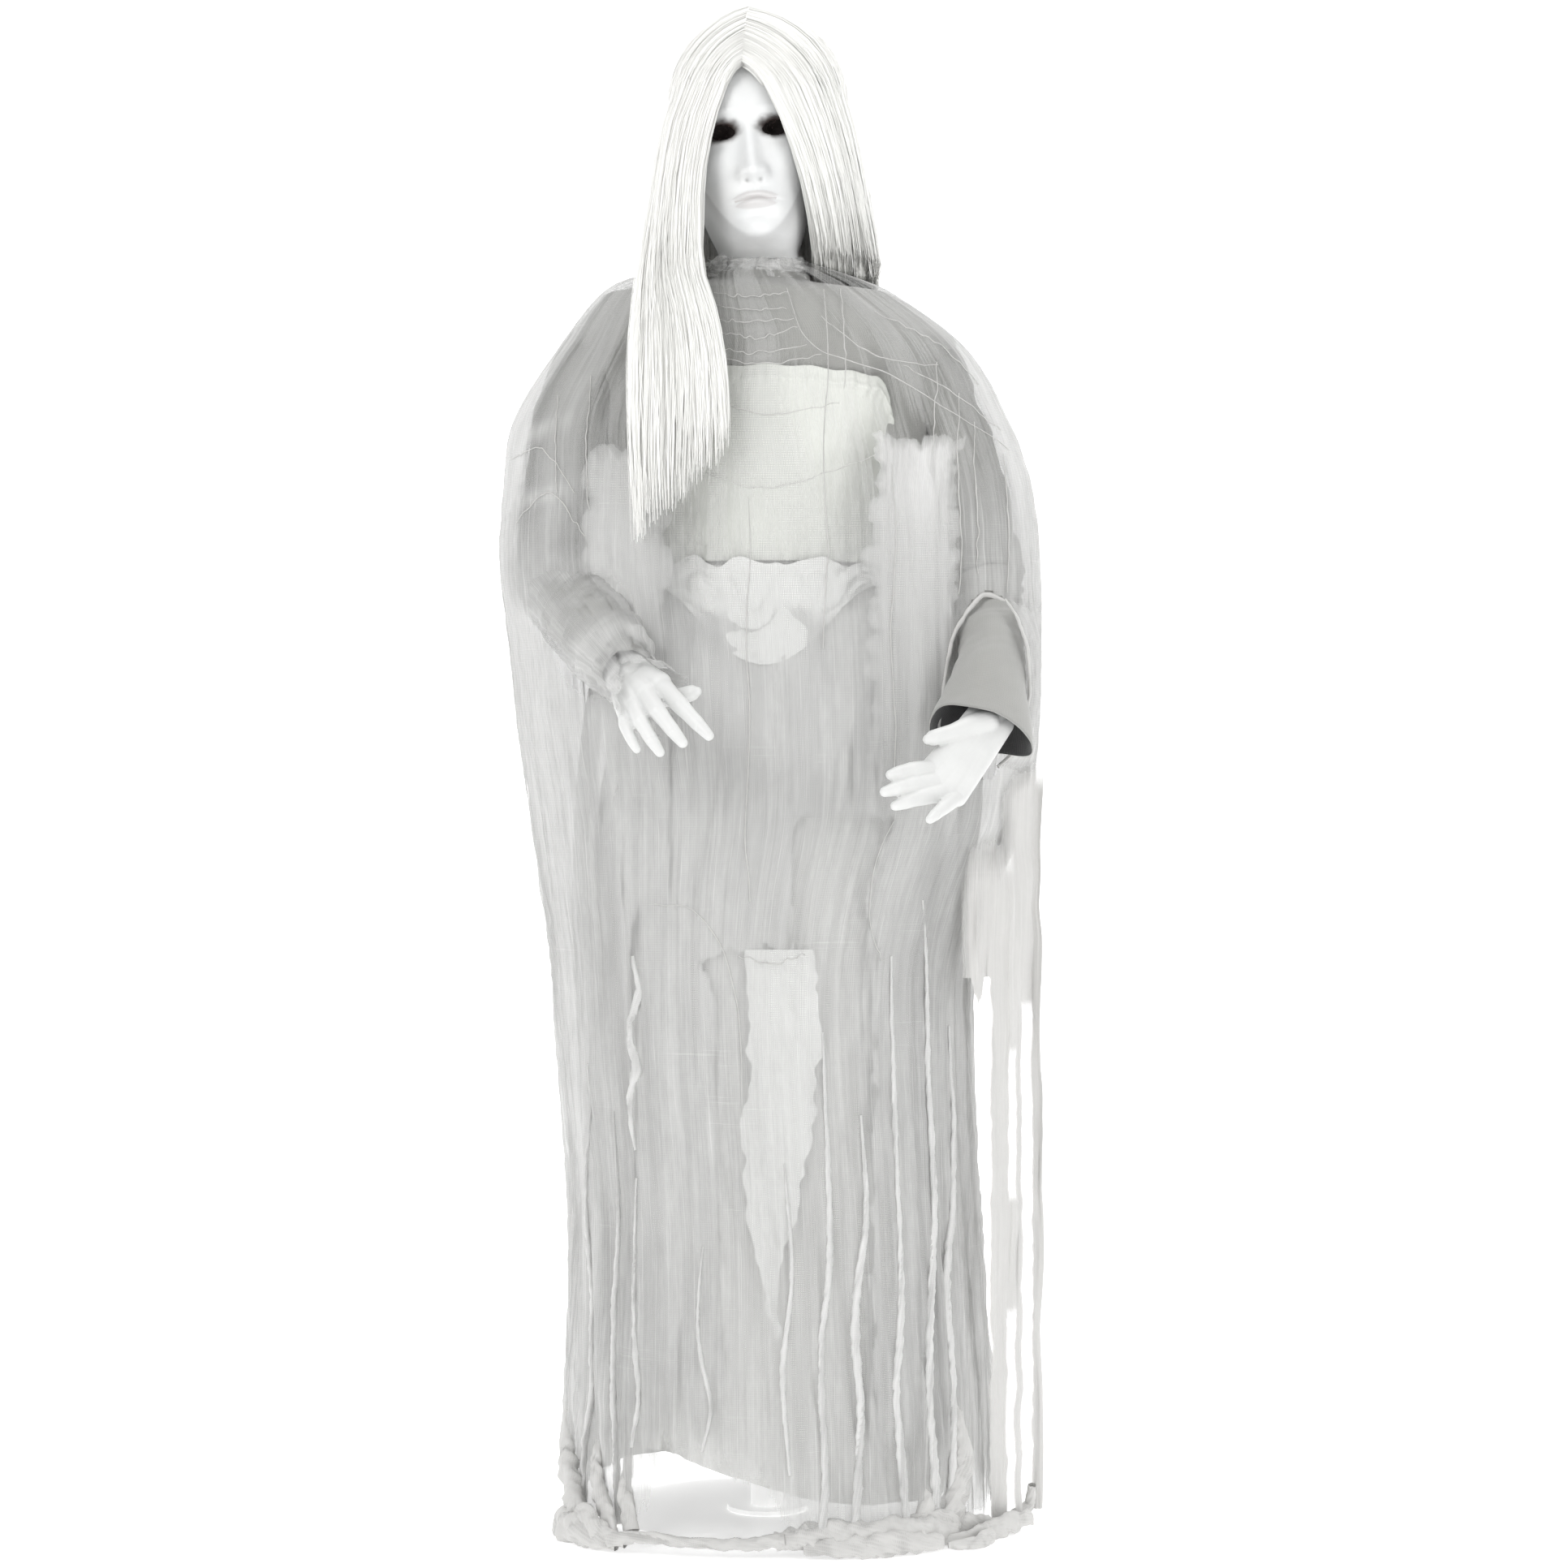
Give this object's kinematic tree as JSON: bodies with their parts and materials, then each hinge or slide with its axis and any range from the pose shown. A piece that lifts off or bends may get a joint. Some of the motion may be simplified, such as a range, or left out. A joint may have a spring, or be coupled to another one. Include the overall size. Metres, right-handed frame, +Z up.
{
  "type": "animatronic ghost",
  "caption": "Life-size veiled ghost figure on a pole stand; a geared motor turns the wigged head and two elbow motors swing the forearms.",
  "frame": {"origin": "on the floor, at the axis of the stand poles, on the underside of the base plate", "axes": "+Z up along the poles, -Y the way the face looks, +X to the viewer's right"},
  "size_m": [0.626, 0.5501, 1.711],
  "materials": {
    "white_steel": "white powder coat",
    "black_steel": "black powder coat",
    "zinc_steel": "bright zinc plate",
    "brass": "turned brass",
    "nylon_gear": "natural nylon",
    "black_plastic": "fine matt black moulding",
    "shell_plastic": "off-white blow moulding",
    "white_plastic": "satin white moulding",
    "eye_mesh": "sheer black mesh",
    "white_hair": "white synthetic fibre",
    "grey_knit": "grey jersey knit",
    "white_satin": "soft white satin",
    "gauze": "torn white cotton gauze",
    "board_green": "green solder mask",
    "cell_jacket": "plain printed jacket",
    "lead_black": "black insulated wire"
  },
  "bodies": {
    "figure": {"base_plate": "white_steel", "pole_socket": "white_steel", "lower_pole": "black_steel", "middle_pole": "black_steel", "upper_pole": "black_steel", "spine_bracket": "zinc_steel", "shoulder_bar": "black_steel", "neck_plate": "zinc_steel", "neck_bush": "brass", "head_gearmotor": "zinc_steel", "torso_front_shell": "shell_plastic", "torso_back_shell": "shell_plastic", "right_arm_rod": "black_steel", "right_elbow_motor": "black_plastic", "left_arm_rod": "black_steel", "left_elbow_motor": "black_plastic", "shirt_body": "grey_knit", "shirt_right_sleeve": "grey_knit", "shirt_left_sleeve": "grey_knit", "dress_bodice": "white_satin", "dress_skirt": "white_satin", "waist_drape": "white_satin", "gauze_shroud_front": "gauze", "gauze_shroud_back": "gauze", "gauze_side_strips": "gauze", "gauze_train": "gauze", "hair_front_lock": "white_hair", "hair_back": "white_hair", "control_box": "black_plastic", "control_cover": "black_plastic", "circuit_board": "board_green", "speaker": "zinc_steel", "battery_cell_1": "cell_jacket", "battery_cell_2": "cell_jacket", "battery_cell_3": "cell_jacket", "head_motor_lead": "lead_black", "right_arm_lead": "lead_black", "left_arm_lead": "lead_black"},
    "head": {"neck_shaft": "zinc_steel", "neck_gear": "nylon_gear", "shaft_clip": "zinc_steel", "head_core": "shell_plastic", "face_mask": "white_plastic", "right_eye_mesh": "eye_mesh", "left_eye_mesh": "eye_mesh", "wig_hair": "white_hair"},
    "head_pinion": {"motor_pinion": "nylon_gear"},
    "right_forearm": {"right_elbow_shaft": "zinc_steel", "right_forearm_rod": "black_steel", "right_wrist_plug": "black_plastic", "right_hand": "white_plastic", "right_lower_sleeve": "grey_knit"},
    "left_forearm": {"left_elbow_shaft": "zinc_steel", "left_forearm_rod": "black_steel", "left_wrist_plug": "black_plastic", "left_hand": "white_plastic", "left_bell_sleeve": "grey_knit"},
    "mode_switch": {"mode_switch": "black_plastic"},
    "test_button": {"test_button": "black_plastic"},
    "battery_door": {"battery_door": "black_plastic"}
  },
  "joints": [
    {"name": "head_turn", "type": "hinge", "parent": "figure", "child": "head", "pos_m": [-0.012, 0.005, 1.4], "axis": [0, 0, 1], "range_deg": [-30, 30]},
    {"name": "head_pinion_spin", "type": "hinge", "parent": "figure", "child": "head_pinion", "pos_m": [-0.012, -0.031, 1.36], "axis": [0, 0, 1], "range_deg": [-95, 95]},
    {"name": "right_arm_lift", "type": "hinge", "parent": "figure", "child": "right_forearm", "pos_m": [-0.25, 0.01, 1.075], "axis": [-0.8179, -0.5469, 0.1786], "range_deg": [-6, 10]},
    {"name": "left_arm_lift", "type": "hinge", "parent": "figure", "child": "left_forearm", "pos_m": [0.25, 0.01, 1.062], "axis": [-0.9576, 0.1915, -0.2155], "range_deg": [-10, 6]},
    {"name": "mode_switch_slide", "type": "slide", "parent": "figure", "child": "mode_switch", "axis": [1, 0, 0], "range_m": [-0.005, 0.005]},
    {"name": "test_button_press", "type": "slide", "parent": "figure", "child": "test_button", "axis": [0, -1, 0], "range_m": [0, 0.0015], "stiffness_N_per_m": 400},
    {"name": "battery_door_slide", "type": "slide", "parent": "figure", "child": "battery_door", "axis": [0, 0, -1], "range_m": [0, 0.03]}
  ],
  "couplings": [
    {"joint": "head_pinion_spin", "follows": "head_turn", "ratio": -3}
  ]
}
